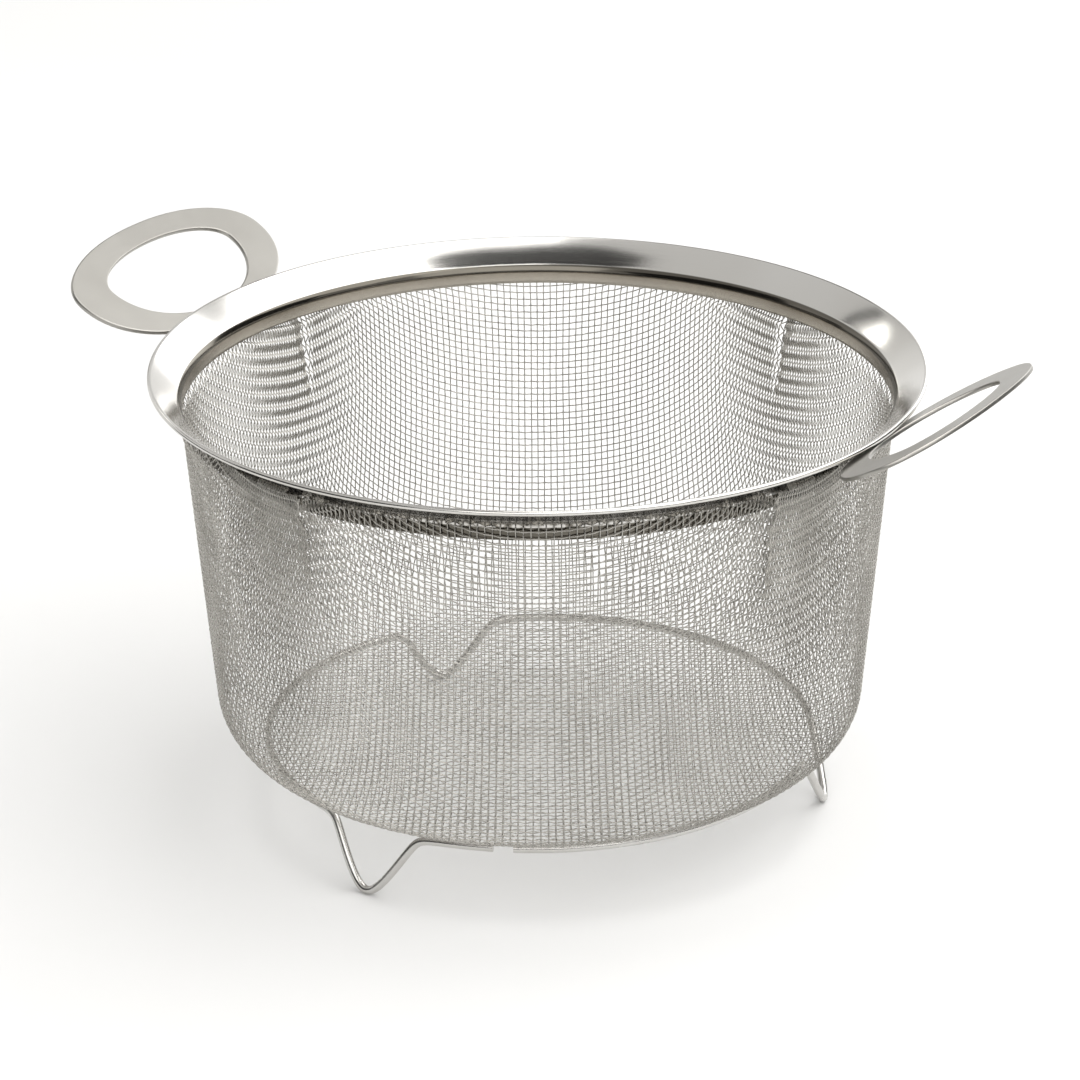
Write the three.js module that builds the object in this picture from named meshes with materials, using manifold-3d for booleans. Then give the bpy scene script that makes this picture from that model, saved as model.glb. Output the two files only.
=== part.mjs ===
// Round wire-mesh sieve: a deep-drawn mesh basket on a polished flared rim, with two flat oval
// handles welded under the flare and a bent-wire foot ring with three V-shaped feet.
// Millimetres, +Z up. The feet stand on z = 0, the basket's axis is Z, the handles lie along X.
import * as THREE from 'three';
import { mergeVertices } from 'three/addons/utils/BufferGeometryUtils.js';
import Module from 'manifold-3d';

const wasm = await Module();
wasm.setup();

// Driving dimensions.
const GAP = 0.3;                  // clearance between pieces that touch in the real object
const LATHE_SIDES = 72;

const RIM_RADIUS = 136;           // outside of the rolled bead
const SHEET = 0.8;                // rim sheet thickness
const COLLAR_RADIUS = 124.2;      // inner face of the collar
const COLLAR_BOTTOM = 149.6;
const FLARE_FOOT = 155.7;         // height where the collar's and the flare's inner faces would meet
const FLARE_ANGLE = rad(39);      // above the horizontal
const FLARE_BEND = 2.8;           // radius of the bend, on the inner face
const BEAD = 0.95;                // radius of the rolled edge

const CLOTH = 1;                  // cloth thickness, two wire diameters
const BASE_UNDERSIDE = 25.8;      // lower face of the flat bottom
const CORNER = 20;                // outer corner radius of the basket
const WALL_TAPER = rad(5);        // half angle of the wall
const WALL_TOP = 145;             // height where the wall starts to widen over the collar
const WALL_TOP_RADIUS = 124.4;    // outer face of the cloth at that height
const CLOTH_TOP = 155.3;

const HANDLE_TILT = rad(29);      // above the horizontal
const HANDLE_TOP = 162.3;         // top face where the handle crosses the rim's outer radius
const HANDLE_THICKNESS = 1.5;
const HANDLE_WIDEST = 22.5;       // where outline and hole are widest, outward from the rim
const HANDLE_OUTLINE = { outward: 22.5, inward: 30, along: 54, power: 2.12 };
const HANDLE_HOLE = { outward: 13.2, inward: 23.2, along: 36.4, power: 2.06 };
const LEFT_HANDLE_AZIMUTH = rad(178.3);
const HANDLE_EDGE = 0.35;         // broken edge of the stamping

const WIRE = 1.5;                 // radius of the foot wire
const RING_RADIUS = 98;
const FOOT_RADIUS = 102.7;        // the feet splay outward to this radius
const FOOT_AZIMUTHS = [23, 141, 264].map(rad);
const FOOT_HALF_WIDTH = rad(11);
const TIP_HEIGHT = 1.1;           // wire centre at a foot's tip, below WIRE because the tip is flat
const TIP_ROUND = 0.34;           // how round the V's tip is, as a share of its half width
const BEND_ROUND = 0.14;          // the same for the bends where the V leaves the ring
const WIRE_ENDS = rad(292.5);     // azimuth of the space between the wire's two ends
const WIRE_ENDS_APART = rad(4.1);
// Where the wire is sampled: across a foot, in half widths from its tip, and along the plain ring.
const FOOT_STATIONS = [0.1, 0.22, 0.36, 0.52, 0.7, 0.85, 0.94, 1.02, 1.1, 1.2, 1.4, 1.8];
const RING_STEP = rad(4);

const LOOKS = {
  rim: { color: 0xd9d9d7, roughness: 0.12, metalness: 1 },
  cloth: { color: 0xb9b6b0, roughness: 0.38, metalness: 1 },
  handle: { color: 0xc9c6bf, roughness: 0.42, metalness: 1 },
  wire: { color: 0xb7b5b0, roughness: 0.3, metalness: 1 },
};

function rad(degrees) {
  return degrees * Math.PI / 180;
}

function named(name, geometry, look) {
  const mesh = new THREE.Mesh(geometry, new THREE.MeshStandardMaterial(look));
  mesh.name = name;
  return mesh;
}

// Points of an arc from one angle to another, both ends included.
function arc(centreX, centreY, radius, from, to, steps) {
  return Array.from({ length: steps + 1 }, (_, i) => {
    const angle = from + (to - from) * i / steps;
    return new THREE.Vector2(centreX + radius * Math.cos(angle), centreY + radius * Math.sin(angle));
  });
}

// Turns a (radius, height) outline about Z.
function lathe(outline) {
  return new THREE.LatheGeometry(outline, LATHE_SIDES).rotateX(Math.PI / 2);
}

// The rim's section runs up the outside of the collar, out under the flare, round the bead
// and back over the inner faces.
function rim() {
  const bendX = COLLAR_RADIUS + FLARE_BEND;
  const bendZ = FLARE_FOOT - FLARE_BEND * Math.tan((Math.PI / 2 - FLARE_ANGLE) / 2);
  const beadX = RIM_RADIUS - BEAD;
  const flareZ = FLARE_FOOT + (beadX - COLLAR_RADIUS) * Math.tan(FLARE_ANGLE);
  const beadZ = flareZ - BEAD / Math.cos(FLARE_ANGLE);
  const flareNormal = FLARE_ANGLE + Math.PI / 2;
  const beadStart = FLARE_ANGLE + Math.PI - Math.asin((BEAD - SHEET) / BEAD);
  const outline = [
    new THREE.Vector2(COLLAR_RADIUS + SHEET, COLLAR_BOTTOM),
    ...arc(bendX, bendZ, FLARE_BEND - SHEET, Math.PI, flareNormal, 4),
    ...arc(beadX, beadZ, BEAD, beadStart, flareNormal + 2 * Math.PI, 12),
    ...arc(bendX, bendZ, FLARE_BEND, flareNormal, Math.PI, 5),
    new THREE.Vector2(COLLAR_RADIUS, COLLAR_BOTTOM),
  ];
  outline.push(outline[0].clone());
  return named('rim', lathe(outline), LOOKS.rim);
}

// One face of the cloth from the base's centre up to the cloth's top edge, moved inward by inset.
function clothFace(inset) {
  const cornerZ = BASE_UNDERSIDE + CORNER;
  const wallRadius = WALL_TOP_RADIUS - (WALL_TOP - cornerZ) * Math.tan(WALL_TAPER);
  const cornerX = wallRadius - CORNER / Math.cos(WALL_TAPER);
  const overCollar = COLLAR_RADIUS + SHEET + GAP + CLOTH;
  const overCollarZ = COLLAR_BOTTOM - GAP;
  const widening = [0, 0.25, 0.5, 0.75, 1].map((t) => new THREE.Vector2(
    THREE.MathUtils.lerp(WALL_TOP_RADIUS, overCollar, (1 - Math.cos(Math.PI * t)) / 2) - inset,
    THREE.MathUtils.lerp(WALL_TOP, overCollarZ, t),
  ));
  return [
    new THREE.Vector2(0, BASE_UNDERSIDE + inset),
    ...arc(cornerX, cornerZ, CORNER - inset, -Math.PI / 2, -WALL_TAPER, 8),
    ...widening,
    new THREE.Vector2(overCollar - inset, CLOTH_TOP),
  ];
}

// The woven cloth is a thin cup here, without its openings.
function meshBasket() {
  const outline = [...clothFace(0), ...clothFace(CLOTH).reverse()];
  return named('mesh_basket', lathe(outline), LOOKS.cloth);
}

// Points of an egg shape, between ellipses and rectangles by its power, that is longer inward.
function egg({ outward, inward, along, power }, steps) {
  const bulge = (value) => Math.sign(value) * Math.abs(value) ** (2 / power);
  return Array.from({ length: steps }, (_, i) => {
    const angle = 2 * Math.PI * i / steps;
    const across = Math.cos(angle) > 0 ? outward : inward;
    return new THREE.Vector2(
      HANDLE_WIDEST + across * bulge(Math.cos(angle)),
      along * bulge(Math.sin(angle)),
    );
  });
}

// A flat oval ring that starts under the flare and rises outward, on the side that azimuth gives.
function handle(name, azimuth) {
  const outline = new THREE.Shape(egg(HANDLE_OUTLINE, 64));
  outline.holes.push(new THREE.Path(egg(HANDLE_HOLE, 48)));
  const geometry = new THREE.ExtrudeGeometry(outline, {
    depth: HANDLE_THICKNESS - 2 * HANDLE_EDGE,
    bevelThickness: HANDLE_EDGE,
    bevelSize: HANDLE_EDGE,
    bevelOffset: -HANDLE_EDGE,
    bevelSegments: 2,
  });
  geometry.translate(0, 0, HANDLE_EDGE - HANDLE_THICKNESS);
  const plate = named(name, geometry, LOOKS.handle);
  plate.position.set(RIM_RADIUS, 0, HANDLE_TOP);
  plate.rotation.y = -HANDLE_TILT;
  const side = new THREE.Group();
  side.rotation.z = azimuth;
  side.add(plate);
  return side;
}

// The azimuths at which the wire is sampled, close together on the feet and always on their tips.
function wireStations() {
  const first = WIRE_ENDS + WIRE_ENDS_APART / 2;
  const last = first + 2 * Math.PI - WIRE_ENDS_APART;
  const reach = Math.max(...FOOT_STATIONS) * FOOT_HALF_WIDTH;
  const feet = FOOT_AZIMUTHS.map((foot) => (foot < first ? foot + 2 * Math.PI : foot)).sort((a, b) => a - b);
  const stations = [first];
  const fillTo = (end) => {
    const start = stations.at(-1);
    const count = Math.ceil((end - start) / RING_STEP);
    for (let k = 1; k <= count; k += 1) stations.push(start + (end - start) * k / count);
  };
  for (const foot of feet) {
    fillTo(foot - reach);
    const offsets = [...FOOT_STATIONS.slice(0, -1).map((o) => -o).reverse(), 0, ...FOOT_STATIONS];
    stations.push(...offsets.map((o) => foot + o * FOOT_HALF_WIDTH));
  }
  fillTo(last);
  return stations;
}

// The foot wire's centre line: a circle just under the basket that dips and splays at each foot.
// Its parameter counts the stations evenly.
class FootWire extends THREE.Curve {
  constructor() {
    super();
    this.stations = wireStations();
    this.steps = this.stations.length - 1;
  }

  getUtoTmapping(u) {
    return u;
  }

  // How far towards a foot's tip the wire is at an azimuth, from 0 on the ring to 1 at the tip.
  static dip(azimuth) {
    const depth = (offset) => {
      const lean = 1 - Math.hypot(offset, TIP_ROUND);
      return lean + Math.hypot(lean, BEND_ROUND);
    };
    const dips = FOOT_AZIMUTHS.map((foot) => {
      const turn = Math.atan2(Math.sin(azimuth - foot), Math.cos(azimuth - foot));
      return depth(turn / FOOT_HALF_WIDTH) / depth(0);
    });
    return Math.max(...dips);
  }

  getPoint(t, target = new THREE.Vector3()) {
    const k = Math.min(Math.max(Math.floor(t * this.steps), 0), this.steps - 1);
    const azimuth = THREE.MathUtils.lerp(this.stations[k], this.stations[k + 1], t * this.steps - k);
    const dip = FootWire.dip(azimuth);
    const radius = THREE.MathUtils.lerp(RING_RADIUS, FOOT_RADIUS, dip);
    const height = THREE.MathUtils.lerp(BASE_UNDERSIDE - GAP - WIRE, TIP_HEIGHT, dip);
    return target.set(radius * Math.cos(azimuth), radius * Math.sin(azimuth), height);
  }
}

// A closed geometry as a manifold solid.
function solid(geometry) {
  const bare = geometry.clone();
  bare.deleteAttribute('normal');
  bare.deleteAttribute('uv');
  const merged = mergeVertices(bare);
  return new wasm.Manifold(new wasm.Mesh({
    numProp: 3,
    vertProperties: merged.attributes.position.array,
    triVerts: merged.index.array,
  }));
}

// A manifold solid as a geometry.
function geometryOf(manifold) {
  const mesh = manifold.getMesh();
  const geometry = new THREE.BufferGeometry();
  geometry.setAttribute('position', new THREE.BufferAttribute(mesh.vertProperties, 3));
  geometry.setIndex(new THREE.BufferAttribute(mesh.triVerts, 1));
  geometry.computeVertexNormals();
  return geometry;
}

// The wire's octagonal sweep, with a small flat worn on each tip at z = 0.
function footRing() {
  const section = new THREE.Shape(arc(0, 0, WIRE, 0, 2 * Math.PI * 7 / 8, 7));
  const wire = new FootWire();
  const sweep = new THREE.ExtrudeGeometry(section, { steps: wire.steps, extrudePath: wire });
  const belowFloor = new THREE.BoxGeometry(3 * RIM_RADIUS, 3 * RIM_RADIUS, 10).translate(0, 0, -5);
  const trimmed = solid(sweep).subtract(solid(belowFloor));
  return named('foot_ring', geometryOf(trimmed), LOOKS.wire);
}

const sieve = new THREE.Group();
sieve.add(rim(), meshBasket(), handle('handle_right', 0), handle('handle_left', LEFT_HANDLE_AZIMUTH), footRing());

export default sieve;
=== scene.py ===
"""A sieve of drawn wire cloth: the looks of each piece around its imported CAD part.

Metres, +Z up, +X along the handles. The cloth is woven wire by wire: a square net is drawn over the
basket's surface, its wires turn towards each other on the four diagonals until they jam, and the cloth
creases there under the collar.
"""

import math

import bpy
import numpy as np
from mathutils import Matrix, Vector


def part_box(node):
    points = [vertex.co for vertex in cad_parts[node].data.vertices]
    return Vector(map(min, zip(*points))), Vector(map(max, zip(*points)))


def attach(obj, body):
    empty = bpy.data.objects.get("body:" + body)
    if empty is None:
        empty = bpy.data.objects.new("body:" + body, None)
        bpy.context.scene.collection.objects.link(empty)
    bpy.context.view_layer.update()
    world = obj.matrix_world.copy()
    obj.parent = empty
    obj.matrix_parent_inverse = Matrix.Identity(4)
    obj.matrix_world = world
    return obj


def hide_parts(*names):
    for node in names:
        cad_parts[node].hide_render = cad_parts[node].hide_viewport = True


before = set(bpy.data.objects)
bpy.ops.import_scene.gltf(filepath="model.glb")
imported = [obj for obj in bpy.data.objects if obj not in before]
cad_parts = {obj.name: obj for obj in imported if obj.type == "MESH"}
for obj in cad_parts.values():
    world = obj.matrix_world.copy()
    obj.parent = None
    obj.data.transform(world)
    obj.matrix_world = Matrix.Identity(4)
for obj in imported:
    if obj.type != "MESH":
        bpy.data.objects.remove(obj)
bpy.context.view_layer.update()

MM = 0.001
RIM_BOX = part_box("rim")
BASKET_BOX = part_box("mesh_basket")

# The rim: a spun sheet with an upright collar and a flare that ends in a rolled bead.
RIM_RADIUS = RIM_BOX[1][0]
SHEET = 0.8 * MM
COLLAR_RADIUS = 124.2 * MM
COLLAR_BOTTOM = RIM_BOX[0][2]
FLARE_FOOT = 155.7 * MM
FLARE_ANGLE = math.radians(39)
FLARE_BEND = 5.5 * MM
BEAD = 0.95 * MM

# The basket: a flat base, a round corner, a tapering wall, and a straight edge around the collar.
CLOTH = 1.0 * MM
BASE_UNDERSIDE = BASKET_BOX[0][2]
CORNER = 20 * MM
WALL_TAPER = math.radians(5)
WALL_TOP = 145 * MM
WALL_TOP_RADIUS = 124.4 * MM
CLOTH_TOP = BASKET_BOX[1][2]
GAP = 0.3 * MM

# The weave: the pitch between crossings, the part of it left on the wall near the weave's axes, and how
# many wires that reaches over; the length from the base's centre beyond which the cloth is on the wall.
PITCH = 2.54 * MM
UPRIGHT_PITCH = 0.955
UPRIGHT_REACH = 22
CLOTH_WIRE = 0.44 * MM
WEAVE_AZIMUTH = math.radians(30)
ON_WALL = 128 * MM
RELAX_ROUNDS = 400

# Jammed cloth: the least spacing of its wires, and the spacings between which its corrugation grows.
LOCKED_SPACING = 1.10 * MM
OPEN_SPACING = 2.4 * MM
JAMMED_SPACING = 1.5 * MM
RIPPLE = 0.55 * MM

# Small irregularities of the cloth.
WANDER = 0.05 * MM
JITTER = 0.02 * MM

# How finely the wires are drawn, and the most faces that one piece of cloth holds.
STEPS_PER_CROSSING = 3
WIRE_SIDES = 6
PIECE_FACES = 95_000

# Creases, one near each diagonal of the weave: azimuth, height of the lower end, depth, and lean to the
# side per depth. Each draws the cloth near it together and narrows downward.
CREASES = [
    (math.radians(74), 114 * MM, 3.8 * MM, -0.55),
    (math.radians(163.5), 113 * MM, 3.8 * MM, 0.55),
    (math.radians(261.5), 115 * MM, 3.4 * MM, 0.5),
    (math.radians(338), 106 * MM, 3.6 * MM, -0.5),
]
CREASE_FULL = WALL_TOP + 3 * MM
CREASE_PULL = 2.5 * MM
CREASE_CORE = 3.1 * MM
CREASE_REACH = 24 * MM
CREASE_WIDTH = (1.0 * MM, 2.8 * MM)
CREASE_SWAY = 0.5 * MM
CREASE_SHAKE = 0.25 * MM

# The handles: flat egg shapes with a hole, leaning outward. Reach outward, inward, along; power.
HANDLE_TILT = math.radians(29)
HANDLE_TOP = 162.3 * MM
HANDLE_THICKNESS = 1.5 * MM
HANDLE_WIDEST = 22.5 * MM
HANDLE_OUTLINE = (22.4 * MM, 30 * MM, 54 * MM, 2.12)
HANDLE_HOLE = (13.2 * MM, 23.2 * MM, 36.4 * MM, 2.06)
HANDLES = [("handle_right", 0.0), ("handle_left", math.radians(178.3))]

# The foot wire, by its radius: a ring under the base that dips into three V-shaped feet.
FOOT_WIRE = 1.5 * MM
RING_RADIUS = 98 * MM
FOOT_RADIUS = 102.7 * MM
FOOT_AZIMUTHS = [math.radians(a) for a in (23, 141, 264)]
FOOT_HALF_WIDTH = math.radians(11)
TIP_ROUND = 0.34
BEND_ROUND = 0.14
WIRE_ENDS = math.radians(292.5)
WIRE_ENDS_APART = math.radians(4.1)


# ---------------------------------------------------------------- meshes


def mesh_object(name, vertices, faces, material, smooth_angle=None):
    """A mesh object from vertex and quad (or n-gon list) arrays."""
    mesh = bpy.data.meshes.new(name)
    if isinstance(faces, np.ndarray):
        mesh.vertices.add(len(vertices))
        mesh.vertices.foreach_set("co", np.asarray(vertices, dtype=np.float32).ravel())
        mesh.loops.add(faces.size)
        mesh.loops.foreach_set("vertex_index", faces.astype(np.int32).ravel())
        mesh.polygons.add(len(faces))
        mesh.polygons.foreach_set("loop_start", np.arange(0, faces.size, faces.shape[1], dtype=np.int32))
        mesh.update(calc_edges=True)
    else:
        mesh.from_pydata([tuple(v) for v in vertices], [], faces)
    mesh.polygons.foreach_set("use_smooth", np.ones(len(mesh.polygons), dtype=bool))
    mesh.validate()
    if smooth_angle is not None:
        mesh.set_sharp_from_angle(angle=smooth_angle)
    mesh.materials.append(material)
    ob = bpy.data.objects.new(name, mesh)
    bpy.context.collection.objects.link(ob)
    return ob


def tube_mesh(lines, normals, radius, sides):
    """Vertices and quads of round wires with flat ends. A line is (n, 3); its normals lie across it."""
    turn = np.arange(sides) * 2 * math.pi / sides
    all_vertices, all_faces, start = [], [], 0
    for line, normal in zip(lines, normals):
        along = np.gradient(line, axis=0)
        along /= np.linalg.norm(along, axis=1, keepdims=True)
        across = np.cross(along, normal)
        across /= np.linalg.norm(across, axis=1, keepdims=True)
        up = np.cross(across, along)
        ring = up[:, None] * np.cos(turn)[None, :, None] + across[:, None] * np.sin(turn)[None, :, None]
        all_vertices.append((line[:, None] + radius * ring).reshape(-1, 3))
        rows = np.arange(len(line) - 1)[:, None] * sides + start
        here = rows + np.arange(sides)
        after = rows + (np.arange(sides) + 1) % sides
        all_faces.append(np.stack([here, after, after + sides, here + sides], axis=-1).reshape(-1, 4))
        for first, order in ((start, -1), (start + (len(line) - 1) * sides, 1)):
            for k in range(1, sides - 2, 2):
                quad = [first, first + k, first + k + 1, first + k + 2]
                all_faces.append(np.array([quad[::order]]))
        start += len(line) * sides
    return np.concatenate(all_vertices), np.concatenate(all_faces)


# ---------------------------------------------------------------- cloth


def cloth_profile():
    """The cloth's middle surface: lengths from the base's centre, radii, heights, and its whole length."""
    inset = CLOTH / 2
    corner_z = BASE_UNDERSIDE + CORNER
    wall_radius = WALL_TOP_RADIUS - (WALL_TOP - corner_z) * math.tan(WALL_TAPER)
    corner_x = wall_radius - CORNER / math.cos(WALL_TAPER)
    over_collar = COLLAR_RADIUS + SHEET + GAP + CLOTH
    widen_top = COLLAR_BOTTOM - GAP
    points = [(0, BASE_UNDERSIDE + inset)]
    for a in np.linspace(-math.pi / 2, -WALL_TAPER, 60):
        reach = CORNER - inset
        points.append((corner_x + reach * math.cos(a), corner_z + reach * math.sin(a)))
    for t in np.linspace(0, 1, 24):
        radius = WALL_TOP_RADIUS + (over_collar - WALL_TOP_RADIUS) * (1 - math.cos(math.pi * t)) / 2
        points.append((radius - inset, WALL_TOP + (widen_top - WALL_TOP) * t))
    points.append((over_collar - inset, CLOTH_TOP))
    points.append((over_collar - inset, CLOTH_TOP + 30 * MM))
    points = np.array(points)
    lengths = np.concatenate([[0], np.cumsum(np.hypot(*np.diff(points, axis=0).T))])
    even = np.arange(0, lengths[-1], 0.1 * MM)
    radii, heights = (np.interp(even, lengths, points[:, k]) for k in (0, 1))
    return even, radii, heights, lengths[-2]


ARC, ARC_RADIUS, ARC_HEIGHT, CLOTH_END = cloth_profile()
ARC_OUT = np.gradient(ARC_RADIUS, ARC)
ARC_UP = np.gradient(ARC_HEIGHT, ARC)


def on_surface(s, azimuth):
    """Points at a length s from the base's centre, and their radius."""
    r = np.interp(s, ARC, ARC_RADIUS)
    return np.stack([r * np.cos(azimuth), r * np.sin(azimuth), np.interp(s, ARC, ARC_HEIGHT)]), r


def slide(s, azimuth, push):
    """Where a node comes to when it's pushed a little and stays on the surface."""
    r = np.maximum(np.interp(s, ARC, ARC_RADIUS), 0.5 * MM)
    c, d = np.cos(azimuth), np.sin(azimuth)
    outward = push[0] * c + push[1] * d
    s = s + outward * np.interp(s, ARC, ARC_OUT) + push[2] * np.interp(s, ARC, ARC_UP)
    return s, azimuth + (push[1] * c - push[0] * d) / r


def march_net(count):
    """A first guess of the net in one quarter, diagonal row by diagonal row from the base's centre.

    Each node lies one pitch from its two lower neighbours. On the wall it also keeps its share of jammed
    spacings from the quarter's diagonal, and moves up the wall where that limit holds it.
    """
    s = np.full((count, count), CLOTH_END + 50 * PITCH)
    azimuth = np.zeros((count, count))
    s[:, 0] = s[0, :] = axis_lengths(count)
    azimuth[0, :] = math.pi / 2
    for row in range(2, 2 * count - 1):
        i = np.arange(max(1, row - count + 1), min(row - 1, count - 1) + 1)
        j = row - i
        near = (s[i - 1, j] < CLOTH_END + 4 * PITCH) & (s[i, j - 1] < CLOTH_END + 4 * PITCH)
        i, j = i[near], j[near]
        if len(i) == 0:
            break
        sa, fa, sb, fb = s[i - 1, j], azimuth[i - 1, j], s[i, j - 1], azimuth[i, j - 1]
        sn = sa + sb - s[i - 1, j - 1]
        fn = fa + fb - azimuth[i - 1, j - 1] if row > 2 else np.full(1, math.pi / 4)
        for _ in range(14):
            for sq, fq in ((sa, fa), (sb, fb)):
                away = on_surface(sn, fn)[0] - on_surface(sq, fq)[0]
                length = np.sqrt((away**2).sum(0))
                sn, fn = slide(sn, fn, away * (PITCH / length - 1) * 0.9)
        r = np.maximum(np.interp(sn, ARC, ARC_RADIUS), PITCH)
        limit = math.pi / 4 - (i - j) / 2 * LOCKED_SPACING / r
        wall = sn > ON_WALL
        jammed = wall & (((i > j) & (fn > limit)) | ((i < j) & (fn < limit)))
        fn = np.where(jammed, limit, fn)
        rise = [np.sqrt(np.maximum(PITCH**2 - (r * (fn - f)) ** 2, MM**2)) for f in (fa, fb)]
        sn = np.where(jammed | (wall & (i == j)), (sa + rise[0] + sb + rise[1]) / 2, sn)
        s[i, j], azimuth[i, j] = sn, fn
    return s, azimuth


def axis_lengths(count):
    """Where the nodes of the two wires through the base's centre lie: a little closer on the wall."""
    plain = np.arange(count) * PITCH
    return np.where(plain > ON_WALL, ON_WALL + (plain - ON_WALL) * UPRIGHT_PITCH, plain)


def relax_net(s, azimuth, rounds):
    """Evens the net out: wires keep their length and stay straight, and jammed wires stay apart."""
    count = len(s)
    live = s < CLOTH_END + 3.5 * PITCH
    s[~live] = CLOTH_END + 5 * PITCH
    turns = live.copy()
    turns[0, :] = turns[:, 0] = False
    every = np.arange(count)

    def keep_length(a, b, length):
        pa, pb = on_surface(s[a], azimuth[a])[0], on_surface(s[b], azimuth[b])[0]
        away = pb - pa
        now = np.sqrt((away**2).sum(0)) + 1e-9
        ease = np.where(live[a] & live[b], (1 - length / now) / 2, 0)
        s[a], azimuth[a] = slide(s[a], azimuth[a], away * ease)
        s[b], azimuth[b] = slide(s[b], azimuth[b], -away * ease)

    def keep_apart(a, b):
        r = np.interp((s[a] + s[b]) / 2, ARC, ARC_RADIUS)
        movers = turns[a].astype(float) + turns[b]
        wall = live[a] & live[b] & (np.minimum(s[a], s[b]) > ON_WALL) & (movers > 0)
        short = np.where(wall, np.minimum(azimuth[b] - azimuth[a] - LOCKED_SPACING / r, 0), 0)
        short /= np.maximum(movers, 1)
        azimuth[a] += short * turns[a]
        azimuth[b] -= short * turns[b]

    def straighten(strength):
        for grid in (s, azimuth):
            for value, used, length in ((grid, live, s), (grid.T, live.T, s.T)):
                inside = used[:-2] & used[1:-1] & used[2:] & (length[1:-1] > ON_WALL)
                middle = (value[:-2] + value[2:]) / 2
                value[1:-1] += np.where(inside, strength * (middle - value[1:-1]), 0)
        for length, used in ((s, live), (s.T, live.T)):
            inside = used[0] & used[1] & (length[0] > ON_WALL)
            length[0] += np.where(inside, strength * (length[1] - length[0]), 0)

    upright = 1 - (1 - UPRIGHT_PITCH) * np.exp(-((every / UPRIGHT_REACH) ** 2))
    for k in range(rounds):
        straighten(0.4 * (1 - k / rounds) + 0.08)
        for parity in (0, 1):
            i = np.arange(parity, count - 1, 2)
            wall = np.where(i[:, None] * PITCH > ON_WALL, upright[None, :], 1.0)
            keep_length(np.ix_(i, every), np.ix_(i + 1, every), PITCH * wall)
            keep_length(np.ix_(every, i), np.ix_(every, i + 1), PITCH * wall.T)
            keep_apart(np.ix_(i + 1, every[:-1]), np.ix_(i, every[1:]))
        s[0, 0] = 0
        azimuth[:, 0] = 0
        azimuth[0, :] = math.pi / 2
    return s, azimuth, live


def smoothstep(x, low, high):
    t = np.clip((x - low) / (high - low), 0, 1)
    return t * t * (3 - 2 * t)


def whole_net(quarter_s, quarter_azimuth, live):
    """The quarter net mirrored into all four quarters, its azimuths now in the object's frame."""
    count = len(quarter_s)
    signed = np.arange(1 - count, count)
    i, j = np.abs(signed)[:, None], np.abs(signed)[None, :]
    s, azimuth, used = quarter_s[i, j], quarter_azimuth[i, j], live[i, j]
    x, y = np.cos(azimuth) * np.sign(signed)[:, None], np.sin(azimuth) * np.sign(signed)[None, :]
    azimuth = np.arctan2(y, x) + WEAVE_AZIMUTH
    return s, azimuth, used


def crease(s, azimuth, shake):
    """Draws the jammed cloth together at each crease and lifts it outward into a leaning pleat."""
    lift = np.zeros_like(s)
    r, z = np.interp(s, ARC, ARC_RADIUS), np.interp(s, ARC, ARC_HEIGHT)
    around = np.maximum(r, MM)
    for at, foot, depth, lean in CREASES:
        grown = smoothstep(z, foot, CREASE_FULL)
        x = np.arctan2(np.sin(azimuth - at), np.cos(azimuth - at)) * r
        x = x + grown * CREASE_SWAY * np.sin(z / (2.6 * MM) + at * 7)
        near = np.exp(-np.abs(x) / CREASE_REACH)
        azimuth = azimuth - grown * CREASE_PULL * np.tanh(x / CREASE_CORE) * near / around
        width = CREASE_WIDTH[0] + (CREASE_WIDTH[1] - CREASE_WIDTH[0]) * grown
        fold = np.exp(-((x / width) ** 2))
        lift += grown * depth * fold
        azimuth = azimuth + lean * grown * depth * fold / around
        azimuth += grown * fold * shake[0] * CREASE_SHAKE / around
        lift += grown * fold * shake[1] * CREASE_SHAKE
    return azimuth, lift


def cloth_wires():
    """Centre lines and normals of all the wires, first those along one weave axis."""
    count = int(CLOTH_END / PITCH) + 5
    s, azimuth, live = relax_net(*march_net(count), RELAX_ROUNDS)
    s, azimuth, live = whole_net(s, azimuth, live)
    size = len(s)
    shake = np.random.default_rng(11).normal(size=(3, size, size))
    i, j = np.meshgrid(np.arange(size), np.arange(size), indexing="ij")
    wander = WANDER * (np.sin(i * 0.31 + 2 * np.sin(j * 0.17)) + np.sin(j * 0.27 + 2 * np.sin(i * 0.13)))
    r = np.maximum(np.interp(s, ARC, ARC_RADIUS), PITCH)
    away = smoothstep(r, 4 * MM, 20 * MM)
    s = s + wander + 1.25 * JITTER * shake[0]
    azimuth = azimuth + away * (0.8 * wander.T + JITTER * shake[1]) / r
    azimuth, lift = crease(s, azimuth, shake)

    place, _ = on_surface(s, azimuth)
    place = np.moveaxis(place, 0, -1)
    out, up = np.interp(s, ARC, ARC_OUT), np.interp(s, ARC, ARC_UP)
    normal = np.stack([up * np.cos(azimuth), up * np.sin(azimuth), -out], axis=-1)
    spacing = np.full((size, size), 3 * MM)
    spacing[:-1, :-1] = jam_spacing(place)
    jam = smoothstep(-spacing, -OPEN_SPACING, -JAMMED_SPACING) * (s > ON_WALL)
    parity = np.where((i + j) % 2 == 0, 1.0, -1.0)
    crimp = CLOTH_WIRE / 2
    lines, normals = [], []
    for family in (0, 1):
        sign = 1 - 2 * family
        offset = parity * (sign * crimp + RIPPLE * jam) + JITTER * shake[2]
        grids = [place, normal, offset, lift, s, live]
        if family:
            grids = [np.swapaxes(g, 0, 1) for g in grids]
        for k in range(size):
            line = one_wire(*[g[:, k] for g in grids])
            if line is not None:
                lines.append(line[0])
                normals.append(line[1])
    return lines, normals


def jam_spacing(place):
    """At each cell, the shorter of its two diagonals."""
    a = np.linalg.norm(place[1:, :-1] - place[:-1, 1:], axis=-1)
    b = np.linalg.norm(place[1:, 1:] - place[:-1, :-1], axis=-1)
    return np.minimum(a, b)


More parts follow.
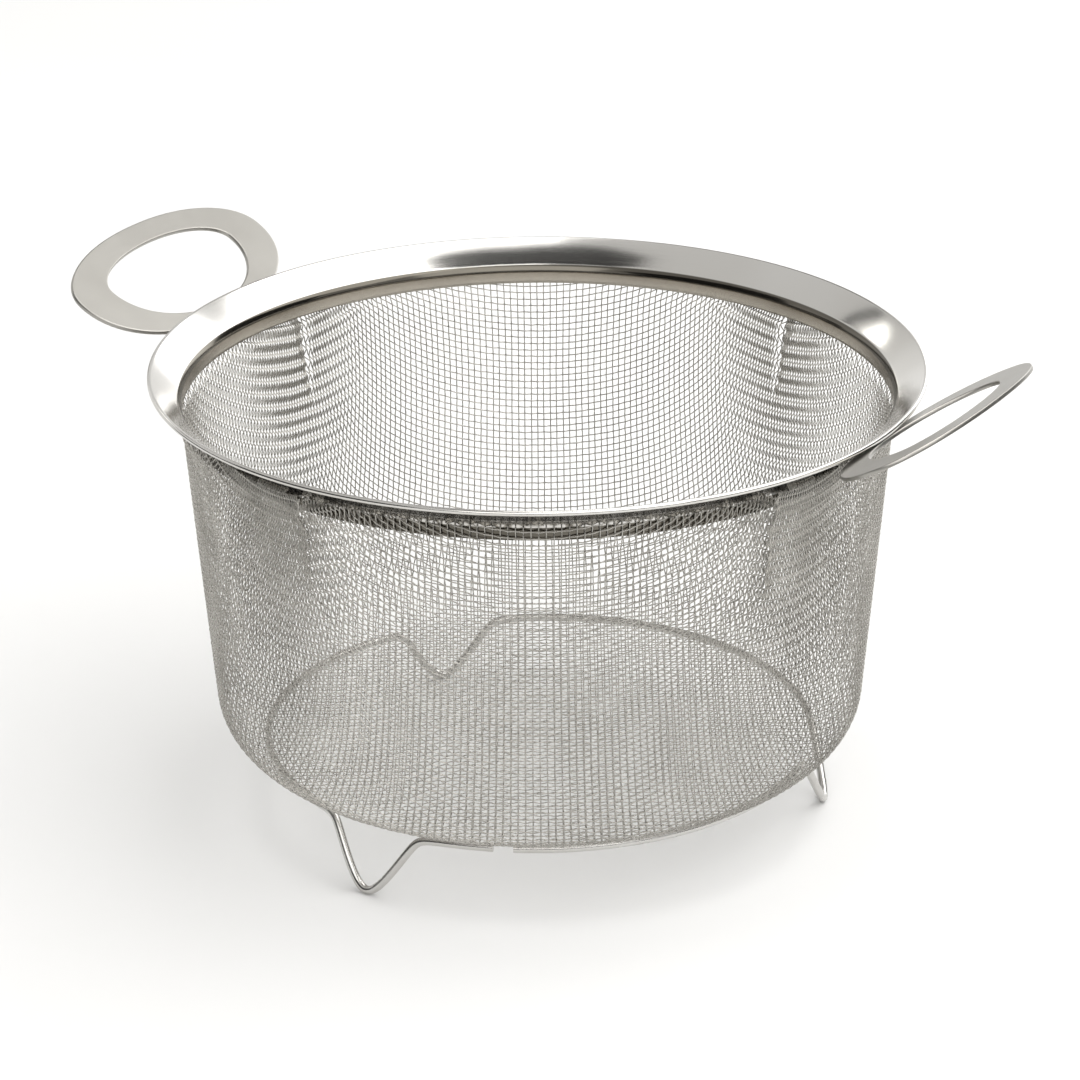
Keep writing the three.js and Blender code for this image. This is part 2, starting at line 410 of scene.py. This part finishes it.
def one_wire(place, normal, offset, lift, s, live):
    """A wire's centre line through its crossings, over and under in turn, cut at the cloth's edge."""
    inside = live & (s < CLOTH_END + 2 * PITCH)
    if not inside.any():
        return None
    first, last = np.flatnonzero(inside)[[0, -1]]
    if last - first < 3:
        return None
    keep = slice(first, last + 1)
    place, normal, offset, lift, s = place[keep], normal[keep], offset[keep], lift[keep], s[keep]
    steps = STEPS_PER_CROSSING
    fine = np.linspace(0, len(s) - 1, (len(s) - 1) * steps + 1)
    knots = np.arange(len(s))
    line = spline(place, fine)
    across = spline(normal, fine)
    across /= np.linalg.norm(across, axis=1, keepdims=True)
    t = fine - np.floor(fine)
    here = np.minimum(np.floor(fine).astype(int), len(s) - 2)
    ease = (1 + np.cos(math.pi * t)) / 2
    swing = offset[here] * ease + offset[here + 1] * (1 - ease)
    line = line + across * (swing + np.interp(fine, knots, lift))[:, None]
    height = np.interp(fine, knots, s)
    within = height < CLOTH_END
    if within.sum() < 4:
        return None
    start, stop = np.flatnonzero(within)[[0, -1]]
    return line[start : stop + 1], across[start : stop + 1]


def spline(points, at):
    """A Catmull-Rom curve through points, read at fractional indices."""
    k = np.minimum(np.floor(at).astype(int), len(points) - 2)
    t = (at - k)[:, None]
    padded = np.concatenate([[2 * points[0] - points[1]], points, [2 * points[-1] - points[-2]]])
    a, b, c, d = padded[k], padded[k + 1], padded[k + 2], padded[k + 3]
    return b + 0.5 * t * (c - a + t * (2 * a - 5 * b + 4 * c - d + t * (3 * (b - c) + d - a)))


def bake_layout(mesh):
    """Gives each face its own square in the picture that an export bakes, in place of a slow unwrap."""
    count = len(mesh.polygons)
    across = math.ceil(math.sqrt(count))
    cell = np.arange(count)
    corners = np.array([(0.2, 0.2), (0.8, 0.2), (0.8, 0.8), (0.2, 0.8)])
    places = (np.stack([cell % across, cell // across], axis=-1)[:, None] + corners) / across
    mesh.uv_layers.new(name="OFBake").data.foreach_set("uv", places.astype(np.float32).ravel())


def build_cloth(material):
    """The woven cloth, in pieces of a few dozen wires each."""
    lines, normals = cloth_wires()
    pieces, first, faces = [], 0, 0
    for k in range(len(lines) + 1):
        size = len(lines[k]) * WIRE_SIDES if k < len(lines) else PIECE_FACES
        if faces and faces + size > PIECE_FACES:
            vertices, quads = tube_mesh(lines[first:k], normals[first:k], CLOTH_WIRE / 2, WIRE_SIDES)
            pieces.append(mesh_object(f"cloth_wires_{len(pieces) + 1:02d}", vertices, quads, material))
            bake_layout(pieces[-1].data)
            first, faces = k, 0
        faces += size
    return pieces


# ---------------------------------------------------------------- rim, handles, foot wire


def arc(centre, radius, start, end, count):
    """Points of an arc in a section, both ends included."""
    return [
        (centre[0] + radius * math.cos(a), centre[1] + radius * math.sin(a))
        for a in np.linspace(start, end, count)
    ]


def ring_faces(rings, around, closed_rings):
    """Quads of a grid of rings of points; the rings may close on themselves as a torus does."""
    rows = np.arange(rings if closed_rings else rings - 1)[:, None]
    columns = np.arange(around)[None, :]
    below, above = rows * around, (rows + 1) % rings * around
    after = (columns + 1) % around
    quads = [below + columns, below + after, above + after, above + columns]
    return np.stack(np.broadcast_arrays(*quads), axis=-1).reshape(-1, 4)


def rim_section():
    """The closed section, up the collar's outside, under the flare, round the bead and back inside."""
    turned = math.pi / 2 - FLARE_ANGLE
    bend = (COLLAR_RADIUS + FLARE_BEND, FLARE_FOOT - FLARE_BEND * math.tan(turned / 2))
    bead_x = RIM_RADIUS - BEAD
    flare_z = FLARE_FOOT + (bead_x - COLLAR_RADIUS) * math.tan(FLARE_ANGLE)
    bead = (bead_x, flare_z - BEAD / math.cos(FLARE_ANGLE))
    normal = FLARE_ANGLE + math.pi / 2
    bead_start = FLARE_ANGLE + math.pi - math.asin((BEAD - SHEET) / BEAD)
    upright = np.linspace(COLLAR_BOTTOM + 0.1 * MM, bend[1], 4)
    outside = [(COLLAR_RADIUS + SHEET, z) for z in upright[:-1]]
    outside += arc(bend, FLARE_BEND - SHEET, math.pi, normal, 10)
    outside += arc(bead, BEAD, bead_start, normal + 2 * math.pi, 26)
    inside = arc(bend, FLARE_BEND, normal, math.pi, 14)
    inside += [(COLLAR_RADIUS, z) for z in upright[::-1][1:]]
    flare = bulged(outside[-1], inside[0], 0.16 * MM, 10)
    lip = [(COLLAR_RADIUS + SHEET / 4, COLLAR_BOTTOM), (COLLAR_RADIUS + SHEET * 3 / 4, COLLAR_BOTTOM)]
    return outside + flare + inside + lip


def bulged(start, end, rise, count):
    """Points between two ends of a nearly straight line that rises a little in its middle."""
    (x0, z0), (x1, z1) = start, end
    length = math.hypot(x1 - x0, z1 - z0)
    side = ((z1 - z0) / length, -(x1 - x0) / length)
    points = []
    for t in np.linspace(0, 1, count + 2)[1:-1]:
        lift = rise * 4 * t * (1 - t)
        points.append((x0 + (x1 - x0) * t + side[0] * lift, z0 + (z1 - z0) * t + side[1] * lift))
    return points


def build_rim(material):
    section = np.array(rim_section())
    around = 384
    turn = np.arange(around) * 2 * math.pi / around
    radius, height = section[:, :1], section[:, 1:]
    vertices = np.stack(
        [radius * np.cos(turn), radius * np.sin(turn), np.broadcast_to(height, (len(section), around))],
        axis=-1,
    ).reshape(-1, 3)
    return mesh_object("rim_polished", vertices, ring_faces(len(section), around, True), material)


def egg(size, count):
    """An egg shape between ellipses and rectangles, longer inward, and its outward normals."""
    outward, inward, along, power = size
    turn = np.arange(count) * 2 * math.pi / count
    c, s = np.cos(turn), np.sin(turn)
    across = np.where(c > 0, outward, inward)
    points = np.stack(
        [
            HANDLE_WIDEST + across * np.sign(c) * np.abs(c) ** (2 / power),
            along * np.sign(s) * np.abs(s) ** (2 / power),
        ],
        axis=-1,
    )
    tangent = np.roll(points, -1, axis=0) - np.roll(points, 1, axis=0)
    tangent /= np.linalg.norm(tangent, axis=1, keepdims=True)
    return points, np.stack([tangent[:, 1], -tangent[:, 0]], axis=-1)


def build_handle(name, azimuth, material):
    """A stamped ring: one edge of each outline rolled over by the die, the other nearly sharp."""
    count = 192
    outer, outer_normal = egg(HANDLE_OUTLINE, count)
    hole, hole_normal = egg(HANDLE_HOLE, count)
    rings = []
    corner = [(0.6 * MM, 0.0), (0.42 * MM, 0.0), (0.2 * MM, -0.05 * MM)]
    corner += [(0.06 * MM, -0.18 * MM), (0.0, -0.42 * MM)]
    sharp = [(0.0, -HANDLE_THICKNESS + 0.12 * MM), (0.04 * MM, -HANDLE_THICKNESS + 0.03 * MM)]
    sharp += [(0.16 * MM, -HANDLE_THICKNESS), (0.3 * MM, -HANDLE_THICKNESS)]
    for inset, z in corner + sharp:
        rings.append((outer - outer_normal * inset, z))
    for inset, z in reversed(corner + sharp):
        rings.append((hole + hole_normal * inset, z))
    flat = np.concatenate([np.column_stack([p, np.full(count, z)]) for p, z in rings])
    tilt = np.array(Matrix.Rotation(-HANDLE_TILT, 3, "Y"))
    swing = np.array(Matrix.Rotation(azimuth, 3, "Z"))
    turned = (flat @ tilt.T + np.array([RIM_RADIUS, 0, HANDLE_TOP])) @ swing.T
    faces = ring_faces(len(rings), count, True)[:, ::-1]
    return mesh_object(name, turned, faces, material, math.radians(40))


def foot_line():
    """The foot wire's centre line, with its dips into the feet."""
    start = WIRE_ENDS + WIRE_ENDS_APART / 2
    azimuth = start + np.linspace(0, 1, 1100) * (2 * math.pi - WIRE_ENDS_APART)

    def depth(offset):
        lean = 1 - np.hypot(offset, TIP_ROUND)
        return lean + np.hypot(lean, BEND_ROUND)

    dips = []
    for foot in FOOT_AZIMUTHS:
        turn = np.arctan2(np.sin(azimuth - foot), np.cos(azimuth - foot))
        dips.append(depth(turn / FOOT_HALF_WIDTH) / depth(0.0))
    dip = np.max(dips, axis=0)
    radius = RING_RADIUS + (FOOT_RADIUS - RING_RADIUS) * dip
    height = (BASE_UNDERSIDE - FOOT_WIRE) * (1 - dip) + FOOT_WIRE * dip
    return np.stack([radius * np.cos(azimuth), radius * np.sin(azimuth), height], axis=-1)


def build_foot_wire(material):
    """The bent wire, with its two cut ends a little apart."""
    line = foot_line()
    along = np.gradient(line, axis=0)
    outward = line * np.array([1, 1, 0])
    normal = np.cross(along, outward)
    vertices, quads = tube_mesh([line], [normal], FOOT_WIRE, 20)
    return mesh_object("foot_wire", vertices, quads, material, math.radians(50))


# ---------------------------------------------------------------- materials


class Nodes:
    """A new material and short ways to add nodes to it."""

    def __init__(self, name):
        self.material = bpy.data.materials.new(name)
        self.material.use_nodes = True
        self.tree = self.material.node_tree
        self.shader = next(n for n in self.tree.nodes if n.type == "BSDF_PRINCIPLED")

    def add(self, kind, **inputs):
        node = self.tree.nodes.new(kind)
        for key, value in inputs.items():
            self.put(node.inputs[key.replace("_", " ")], value)
        return node

    def put(self, socket, value):
        if isinstance(value, bpy.types.NodeSocket):
            self.tree.links.new(value, socket)
        else:
            socket.default_value = value

    def maths(self, operation, *values):
        node = self.tree.nodes.new("ShaderNodeMath")
        node.operation = operation
        for socket, value in zip(node.inputs, values):
            self.put(socket, value)
        return node.outputs[0]

    def place(self):
        return self.tree.nodes.new("ShaderNodeTexCoord").outputs["Object"]

    def stretched(self, scale):
        """Object coordinates, scaled on each axis."""
        node = self.add("ShaderNodeVectorMath", Vector=self.place())
        node.operation = "MULTIPLY"
        node.inputs[1].default_value = scale
        return node.outputs[0]

    def cylindrical(self):
        """Azimuth, radius and height."""
        x, y, z = self.add("ShaderNodeSeparateXYZ", Vector=self.place()).outputs
        squares = [self.maths("MULTIPLY", v, v) for v in (x, y)]
        return self.maths("ARCTAN2", y, x), self.maths("SQRT", self.maths("ADD", *squares)), z

    def facing_out(self):
        """Positive where a surface faces away from the object's axis."""
        coordinates = self.tree.nodes.new("ShaderNodeTexCoord")
        node = self.add("ShaderNodeVectorMath", Vector=self.stretched((1, 1, 0)))
        node.operation = "DOT_PRODUCT"
        self.put(node.inputs[1], coordinates.outputs["Normal"])
        return node.outputs["Value"]

    def vector(self, a, b, c, scale):
        values = [self.maths("MULTIPLY", v, k) for v, k in zip((a, b, c), scale)]
        return self.add("ShaderNodeCombineXYZ", X=values[0], Y=values[1], Z=values[2]).outputs[0]

    def beyond(self, value, limit):
        """1 where a length is a little more than a limit, 0 below it."""
        node = self.add("ShaderNodeMapRange", Value=value, From_Min=limit, From_Max=limit + 0.3 * MM)
        return node.outputs[0]

    def mixed(self, factor, first, second):
        node = self.tree.nodes.new("ShaderNodeMix")
        node.data_type = "RGBA"
        sockets = {socket.identifier: socket for socket in [*node.inputs, *node.outputs]}
        self.put(sockets["Factor_Float"], factor)
        self.put(sockets["A_Color"], first)
        self.put(sockets["B_Color"], second)
        return sockets["Result_Color"]

    def noise(self, vector, scale, detail=2.0):
        return self.add("ShaderNodeTexNoise", Vector=vector, Scale=scale, Detail=detail).outputs["Fac"]

    def ramp(self, value, low, high, stops):
        """A colour from a value between low and high."""
        scaled = self.add("ShaderNodeMapRange", Value=value, From_Min=low, From_Max=high)
        ramp = self.add("ShaderNodeValToRGB", Fac=scaled.outputs[0])
        ramp.color_ramp.elements[0].color = (*stops[0], 1)
        ramp.color_ramp.elements[1].color = (*stops[1], 1)
        return ramp.outputs[0]

    def between(self, value, low, high):
        """A value from low to high as a noise goes from 0.3 to 0.7."""
        span = {"From_Min": 0.3, "From_Max": 0.7, "To_Min": low, "To_Max": high}
        return self.add("ShaderNodeMapRange", Value=value, **span).outputs[0]

    def bump(self, height, depth):
        node = self.add("ShaderNodeBump", Height=height, Distance=depth)
        self.put(self.shader.inputs["Normal"], node.outputs[0])

    def finish(self, colour, roughness, metallic=1.0):
        self.put(self.shader.inputs["Base Color"], colour)
        self.put(self.shader.inputs["Roughness"], roughness)
        self.shader.inputs["Metallic"].default_value = metallic
        return self.material


def polished_rim():
    """Spun and polished sheet, with painted shade and painted dark reflections on the collar, in the inner
    bend and on the collar's outside behind the cloth.
    """
    n = Nodes("polished_rim")
    azimuth, radius, height = n.cylindrical()
    turned = n.noise(n.vector(azimuth, radius, height, (2.0, 5200, 5200)), 1.0, 3.0)
    cloudy = n.noise(n.stretched((1, 1, 1)), 14.0)
    waves = n.noise(n.stretched((1, 1, 1)), 32.0, 1.0)
    polished = n.ramp(cloudy, 0.3, 0.7, ((0.60, 0.585, 0.555), (0.69, 0.68, 0.66)))
    # Painted shade: the collar's inside is painted darker from its foot up towards the flare.
    collar_painted_shade_colours = ((0.52, 0.49, 0.43), (0.30, 0.265, 0.215))
    collar = n.ramp(height, COLLAR_BOTTOM, FLARE_FOOT - 1.5 * MM, collar_painted_shade_colours)
    # Painted dark reflection and shade, for the inner bend and for the collar's outside behind the cloth.
    bend = n.ramp(cloudy, 0.3, 0.7, ((0.10, 0.092, 0.078), (0.17, 0.158, 0.135)))
    outside = n.beyond(radius, COLLAR_RADIUS + SHEET / 2)
    inward = n.beyond(n.maths("MULTIPLY", n.facing_out(), -1.0), 0.0)
    above_collar = n.beyond(height, FLARE_FOOT - 1.7 * MM)
    above_bend = n.beyond(height, FLARE_FOOT + 0.7 * MM)
    # The painted dark goes on the collar's outer face and on the inward faces up to the bend's top.
    low = n.mixed(outside, collar, bend)
    high = n.mixed(n.maths("MULTIPLY", inward, n.maths("SUBTRACT", 1.0, above_bend)), polished, bend)
    colour = n.mixed(above_collar, low, high)
    n.bump(n.maths("ADD", waves, n.maths("MULTIPLY", turned, 0.012)), 0.35 * MM)
    worn = n.maths("ADD", n.maths("MULTIPLY", turned, 0.5), n.maths("MULTIPLY", cloudy, 0.5))
    return n.finish(colour, n.between(worn, 0.10, 0.2))


def satin_handle():
    """Stamped sheet with a fine satin grain."""
    n = Nodes("satin_handle")
    grain = n.noise(n.stretched((2600, 300, 2600)), 1.0, 3.0)
    cloudy = n.noise(n.stretched((1, 1, 1)), 40.0)
    colour = n.ramp(cloudy, 0.3, 0.7, ((0.365, 0.353, 0.328), (0.40, 0.388, 0.362)))
    n.bump(grain, 0.0006 * MM)
    return n.finish(colour, n.between(grain, 0.30, 0.36))


def cloth_steel():
    """The thin wires of the cloth, cloudy from drawing and pickling."""
    n = Nodes("cloth_steel")
    cloudy = n.noise(n.stretched((1, 1, 1)), 55.0)
    fine = n.noise(n.stretched((1, 1, 1)), 900.0)
    colour = n.ramp(cloudy, 0.3, 0.7, ((0.36, 0.347, 0.32), (0.47, 0.455, 0.425)))
    return n.finish(colour, n.between(fine, 0.2, 0.34))


def drawn_wire():
    """The smooth foot wire."""
    n = Nodes("drawn_wire")
    cloudy = n.noise(n.stretched((1, 1, 1)), 70.0)
    fine = n.noise(n.stretched((1, 1, 1)), 1500.0)
    colour = n.ramp(cloudy, 0.3, 0.7, ((0.56, 0.545, 0.52), (0.64, 0.63, 0.61)))
    n.bump(fine, 0.01 * MM)
    return n.finish(colour, n.between(cloudy, 0.18, 0.3))


def white_table():
    """A matt white table top."""
    n = Nodes("white_table")
    cloudy = n.noise(n.stretched((1, 1, 1)), 3.0)
    colour = n.ramp(cloudy, 0.3, 0.7, ((0.71, 0.71, 0.707), (0.73, 0.73, 0.727)))
    n.shader.inputs["Specular IOR Level"].default_value = 0.0
    return n.finish(colour, n.between(cloudy, 0.55, 0.65), metallic=0.0)


def dark_card():
    """Black card, for the dark parts of the room that the steel mirrors."""
    n = Nodes("dark_card")
    cloudy = n.noise(n.stretched((1, 1, 1)), 3.0)
    colour = n.ramp(cloudy, 0.3, 0.7, ((0.02, 0.02, 0.02), (0.03, 0.03, 0.03)))
    return n.finish(colour, 0.9, metallic=0.0)


# ---------------------------------------------------------------- studio


# The camera's place, direction, roll and lens were fitted to the rim, the base and the three feet.
CAMERA_AT = Vector((0.7485, -1.2965, 0.7271))
CAMERA_AHEAD = Vector((-0.4606, 0.7984, -0.3878))
CAMERA_ROLL = 0.0071
CAMERA_LENS = 152.7
CAMERA_SENSOR = 36
CAMERA_AZIMUTH = -60

# The point on the object's axis that the lights and cards face, and the dark surround's size.
TARGET = Vector((0, 0, 0.10))
SURROUND_RADIUS = 1.5
SURROUND_TOP = 0.42


def direction(turn, elevation):
    """A direction seen from the object: turn 0 is towards the camera, 90 is to its right."""
    azimuth, rise = math.radians(turn + CAMERA_AZIMUTH), math.radians(elevation)
    level = math.cos(rise)
    return Vector((level * math.cos(azimuth), level * math.sin(azimuth), math.sin(rise)))


def facing(away):
    """A rotation that turns a light or card's face back along away."""
    return away.to_track_quat("Z", "Y")


def softbox(name, turn, elevation, distance, width, height, radiance, warmth):
    """A soft rectangular light that faces the object."""
    light = bpy.data.lights.new(name, "AREA")
    light.shape = "RECTANGLE"
    light.size, light.size_y = width, height
    light.energy = radiance * math.pi * width * height
    light.color = warmth
    ob = bpy.data.objects.new(name, light)
    away = direction(turn, elevation)
    ob.location = TARGET + away * distance
    ob.rotation_euler = facing(away).to_euler()
    ob.visible_camera = False
    bpy.context.collection.objects.link(ob)
    return ob


def card(name, turn, elevation, distance, width, height, material):
    """A dark card that the polished steel mirrors."""
    away = direction(turn, elevation)
    turned = facing(away).to_matrix()
    centre = TARGET + away * distance
    corners = [(-0.5, -0.5), (0.5, -0.5), (0.5, 0.5), (-0.5, 0.5)]
    vertices = [centre + turned @ Vector((x * width, y * height, 0)) for x, y in corners]
    return unseen(mesh_object(name, vertices, [(0, 1, 2, 3)], material))


def unseen(ob):
    """Stages a dark surface that shows only as a reflection."""
    ob.visible_camera = False
    ob.visible_diffuse = False
    ob.visible_shadow = False
    return ob


def dark_surround(material):
    """The unlit room around the table on all sides but the back, mirrored low in the steel."""
    count = 24
    vertices = []
    for turn in np.linspace(-120, 122, count):
        away = direction(turn, 0) * SURROUND_RADIUS
        vertices += [(away.x, away.y, 0.01), (away.x, away.y, SURROUND_TOP)]
    faces = [(2 * k, 2 * k + 2, 2 * k + 3, 2 * k + 1) for k in range(count - 1)]
    return unseen(mesh_object("dark_surround", vertices, faces, material))


def build_floor(material):
    half = 9
    corners = [(-half, -half, 0), (half, -half, 0), (half, half, 0), (-half, half, 0)]
    mesh_object("floor", corners, [(0, 1, 2, 3)], material)


def build_world():
    """A pale room, brighter at the horizon."""
    world = bpy.data.worlds.new("studio")
    bpy.context.scene.world = world
    world.use_nodes = True
    tree = world.node_tree
    background = next(n for n in tree.nodes if n.type == "BACKGROUND")
    place = tree.nodes.new("ShaderNodeTexCoord")
    split = tree.nodes.new("ShaderNodeSeparateXYZ")
    level = tree.nodes.new("ShaderNodeMapRange")
    level.inputs["From Min"].default_value = 0.1
    level.inputs["From Max"].default_value = 0.45
    level.inputs["To Min"].default_value = 1.05
    level.inputs["To Max"].default_value = 0.74
    tree.links.new(place.outputs["Generated"], split.inputs[0])
    tree.links.new(split.outputs[2], level.inputs["Value"])
    tree.links.new(level.outputs[0], background.inputs["Strength"])
    background.inputs["Color"].default_value = (1.0, 0.992, 0.975, 1)


def build_camera():
    side = CAMERA_AHEAD.cross(Vector((0, 0, 1))).normalized()
    ahead = CAMERA_AHEAD.normalized()
    up = side.cross(ahead)
    across, top = (side - CAMERA_ROLL * up).normalized(), (up + CAMERA_ROLL * side).normalized()
    camera = bpy.data.cameras.new("camera")
    camera.lens = CAMERA_LENS
    camera.sensor_width = CAMERA_SENSOR
    ob = bpy.data.objects.new("camera", camera)
    turned = Matrix((across, top, -ahead)).transposed().to_4x4()
    ob.matrix_world = Matrix.Translation(CAMERA_AT) @ turned
    bpy.context.collection.objects.link(ob)
    bpy.context.scene.camera = ob


def build_studio():
    """The floor, four soft lights, and dark cards where the steel mirrors dark parts of a room."""
    build_floor(white_table())
    dark = dark_card()
    softbox("key", 92, 60, 1.8, 2.5, 2.4, 2.2, (1.0, 0.995, 0.985))
    softbox("fill", 10, 33, 2.4, 2.6, 1.4, 1.6, (1.0, 0.995, 0.985))
    softbox("backdrop", 146, 19, 2.2, 1.3, 1.15, 1.6, (1.0, 1.0, 1.0))
    softbox("window", 214, 26, 2.0, 0.26, 0.2, 2.6, (1.0, 0.98, 0.93))
    card("overhead_gap", 0, 80, 1.5, 0.95, 0.6, dark)
    card("side_gap", 107, 15, 1.2, 1.1, 0.62, dark)
    card("back_gap", 186, 42, 1.6, 0.6, 0.5, dark)
    card("window_edge", 219, 33, 1.9, 0.5, 0.1, dark)
    card("left_gap", 297, 20, 1.4, 1.5, 0.75, dark)
    dark_surround(dark)
    build_world()
    build_camera()
    bpy.context.scene.view_settings.view_transform = "Standard"


# ---------------------------------------------------------------- assembly


def main():
    for piece in build_cloth(cloth_steel()):
        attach(piece, "root")
        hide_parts("mesh_basket")
    rim = build_rim(polished_rim())
    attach(rim, "root")
    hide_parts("rim")
    satin = satin_handle()
    for name, azimuth in HANDLES:
        plate = build_handle(name + "_plate", azimuth, satin)
        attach(plate, "root")
        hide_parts(name)
    wire = build_foot_wire(drawn_wire())
    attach(wire, "root")
    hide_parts("foot_ring")
    build_studio()


main()
